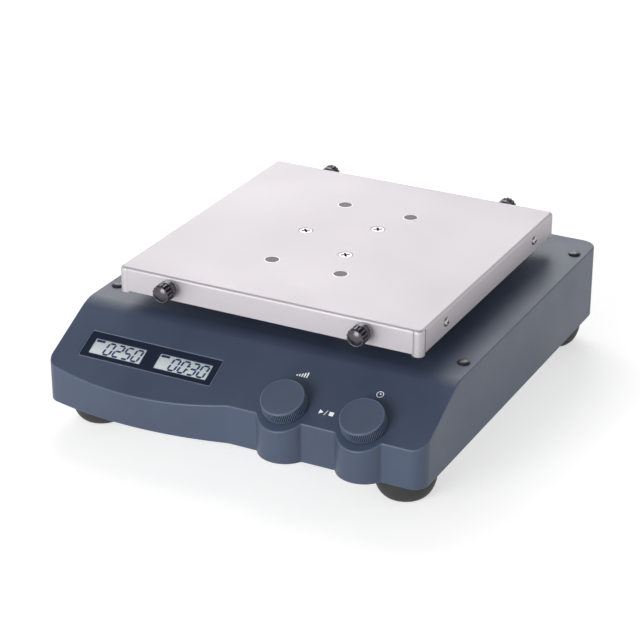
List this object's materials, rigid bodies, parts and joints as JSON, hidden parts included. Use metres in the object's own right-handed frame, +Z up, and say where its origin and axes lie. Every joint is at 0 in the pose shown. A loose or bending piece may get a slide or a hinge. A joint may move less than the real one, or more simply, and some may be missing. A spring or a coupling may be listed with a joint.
{
  "type": "orbital shaker",
  "caption": "Bench-top orbital shaker: a square metal platform swings in a small circle above a wedge-shaped housing with a sloping display panel and push-and-turn control knobs.",
  "frame": {"origin": "on the bench surface, under the centre of the whole object's box", "axes": "+Z up, -Y towards the user at the control panel, +X to the user's right"},
  "size_m": [0.2722, 0.3086, 0.0995],
  "materials": {
    "housing_plastic": "fine matt moulded blue-grey",
    "plated_steel": "zinc-plated sheet",
    "rubber": "matt dark grey",
    "cap_plastic": "matt",
    "plug_grey": "matt mid-grey",
    "bright_steel": "machined bright",
    "thumb_black": "glossy black",
    "window_dark": "dark gloss bezel",
    "lcd_grey": "pale display ground",
    "knob_plastic": "satin blue-grey",
    "board_green": "solder mask",
    "inlet_black": "moulded black",
    "rocker_black": "smooth black",
    "brushed_platform": "fine brushed, pale",
    "cast_aluminium": "as cast and turned",
    "pulley_black": "moulded black",
    "belt_rubber": "matt black"
  },
  "bodies": {
    "base": {"housing": "housing_plastic", "base_plate": "plated_steel", "chassis": "plated_steel", "main_bearing": "cast_aluminium", "idler_bearing_1": "cast_aluminium", "idler_bearing_2": "cast_aluminium", "idler_bearing_3": "cast_aluminium", "motor": "bright_steel", "power_board": "board_green", "control_board": "board_green", "display_window": "window_dark", "speed_lcd": "lcd_grey", "time_lcd": "lcd_grey", "speed_encoder": "bright_steel", "time_encoder": "bright_steel", "power_inlet": "inlet_black", "foot_front_left": "rubber", "foot_front_right": "rubber", "foot_rear_left": "rubber", "foot_rear_right": "rubber", "deck_cap_front_left": "cap_plastic", "deck_cap_front_right": "cap_plastic", "deck_cap_rear_left": "cap_plastic", "deck_cap_rear_right": "cap_plastic", "drive_belt": "belt_rubber"},
    "crank": {"crank_shaft": "bright_steel", "driven_pulley": "pulley_black", "counterweight": "plated_steel"},
    "motor_drive": {"motor_pulley": "bright_steel"},
    "platform": {"platform_tray": "brushed_platform", "platform_carrier": "cast_aluminium", "pin_bearing": "bright_steel", "hub_screw_1": "bright_steel", "hub_screw_2": "bright_steel", "hub_screw_3": "bright_steel", "plate_plug_front_left": "plug_grey", "plate_plug_front_right": "plug_grey", "plate_plug_rear_left": "plug_grey", "plate_plug_rear_right": "plug_grey", "side_screw_front_left": "bright_steel", "side_screw_front_right": "bright_steel", "side_screw_rear_left": "bright_steel", "side_screw_rear_right": "bright_steel"},
    "idler_1": {"idler_crank_1": "bright_steel"},
    "idler_2": {"idler_crank_2": "bright_steel"},
    "idler_3": {"idler_crank_3": "bright_steel"},
    "speed_push": {"speed_push_rod": "bright_steel"},
    "speed_dial": {"speed_knob": "knob_plastic"},
    "time_push": {"time_push_rod": "bright_steel"},
    "time_dial": {"time_knob": "knob_plastic"},
    "rocker": {"power_rocker": "rocker_black"},
    "washer_front_left": {"lock_washer_front_left": "bright_steel"},
    "thumb_front_left": {"thumb_screw_front_left": "thumb_black"},
    "washer_front_right": {"lock_washer_front_right": "bright_steel"},
    "thumb_front_right": {"thumb_screw_front_right": "thumb_black"},
    "washer_rear_left": {"lock_washer_rear_left": "bright_steel"},
    "thumb_rear_left": {"thumb_screw_rear_left": "thumb_black"},
    "washer_rear_right": {"lock_washer_rear_right": "bright_steel"},
    "thumb_rear_right": {"thumb_screw_rear_right": "thumb_black"}
  },
  "joints": [
    {"name": "crank_turn", "type": "hinge", "parent": "base", "child": "crank", "pos_m": [0, 0.01457, 0.05], "axis": [0, 0, 1], "continuous": true},
    {"name": "platform_swing", "type": "hinge", "parent": "crank", "child": "platform", "pos_m": [0, 0.01657, 0.085], "axis": [0, 0, 1], "continuous": true},
    {"name": "motor_turn", "type": "hinge", "parent": "base", "child": "motor_drive", "pos_m": [-0.0375, 0.07952, 0.05], "axis": [0, 0, 1], "continuous": true},
    {"name": "idler_1_turn", "type": "hinge", "parent": "base", "child": "idler_1", "pos_m": [0.04, 0.08385, 0.06], "axis": [0, 0, 1], "continuous": true},
    {"name": "idler_2_turn", "type": "hinge", "parent": "base", "child": "idler_2", "pos_m": [-0.08, 0.01457, 0.06], "axis": [0, 0, 1], "continuous": true},
    {"name": "idler_3_turn", "type": "hinge", "parent": "base", "child": "idler_3", "pos_m": [0.04, -0.05471, 0.06], "axis": [0, 0, 1], "continuous": true},
    {"name": "speed_press", "type": "slide", "parent": "base", "child": "speed_push", "axis": [0, 0.4493, -0.8934], "range_m": [0, 0.0007], "stiffness_N_per_m": 3000, "springref_m": -0.0003},
    {"name": "speed_turn", "type": "hinge", "parent": "speed_push", "child": "speed_dial", "pos_m": [0.037, -0.13818, 0.05509], "axis": [0, -0.4493, 0.8934], "continuous": true},
    {"name": "time_press", "type": "slide", "parent": "base", "child": "time_push", "axis": [0, 0.4493, -0.8934], "range_m": [0, 0.0007], "stiffness_N_per_m": 3000, "springref_m": -0.0003},
    {"name": "time_turn", "type": "hinge", "parent": "time_push", "child": "time_dial", "pos_m": [0.0921, -0.13818, 0.05509], "axis": [0, -0.4493, 0.8934], "continuous": true},
    {"name": "power_switch", "type": "hinge", "parent": "base", "child": "rocker", "pos_m": [-0.0655, 0.14797, 0.0478], "axis": [1, 0, 0], "range_deg": [0, 12]},
    {"name": "thumb_front_left_back_out", "type": "slide", "parent": "platform", "child": "washer_front_left", "axis": [0, -1, 0], "range_m": [0, 0.004]},
    {"name": "thumb_front_left_turn", "type": "hinge", "parent": "washer_front_left", "child": "thumb_front_left", "pos_m": [-0.0705, -0.10143, 0.092], "axis": [0, -1, 0], "range_deg": [0, 1800]},
    {"name": "thumb_front_right_back_out", "type": "slide", "parent": "platform", "child": "washer_front_right", "axis": [0, -1, 0], "range_m": [0, 0.004]},
    {"name": "thumb_front_right_turn", "type": "hinge", "parent": "washer_front_right", "child": "thumb_front_right", "pos_m": [0.0705, -0.10143, 0.092], "axis": [0, -1, 0], "range_deg": [0, 1800]},
    {"name": "thumb_rear_left_back_out", "type": "slide", "parent": "platform", "child": "washer_rear_left", "axis": [0, 1, 0], "range_m": [0, 0.004]},
    {"name": "thumb_rear_left_turn", "type": "hinge", "parent": "washer_rear_left", "child": "thumb_rear_left", "pos_m": [-0.0705, 0.13457, 0.092], "axis": [0, 1, 0], "range_deg": [0, 1800]},
    {"name": "thumb_rear_right_back_out", "type": "slide", "parent": "platform", "child": "washer_rear_right", "axis": [0, 1, 0], "range_m": [0, 0.004]},
    {"name": "thumb_rear_right_turn", "type": "hinge", "parent": "washer_rear_right", "child": "thumb_rear_right", "pos_m": [0.0705, 0.13457, 0.092], "axis": [0, 1, 0], "range_deg": [0, 1800]}
  ],
  "couplings": [
    {"joint": "platform_swing", "follows": "crank_turn", "ratio": -1},
    {"joint": "motor_turn", "follows": "crank_turn", "ratio": 3.6},
    {"joint": "idler_1_turn", "follows": "crank_turn", "ratio": 1},
    {"joint": "idler_2_turn", "follows": "crank_turn", "ratio": 1},
    {"joint": "idler_3_turn", "follows": "crank_turn", "ratio": 1},
    {"joint": "thumb_front_left_turn", "follows": "thumb_front_left_back_out", "rad_per_m": 7854},
    {"joint": "thumb_front_right_turn", "follows": "thumb_front_right_back_out", "rad_per_m": 7854},
    {"joint": "thumb_rear_left_turn", "follows": "thumb_rear_left_back_out", "rad_per_m": 7854},
    {"joint": "thumb_rear_right_turn", "follows": "thumb_rear_right_back_out", "rad_per_m": 7854}
  ]
}
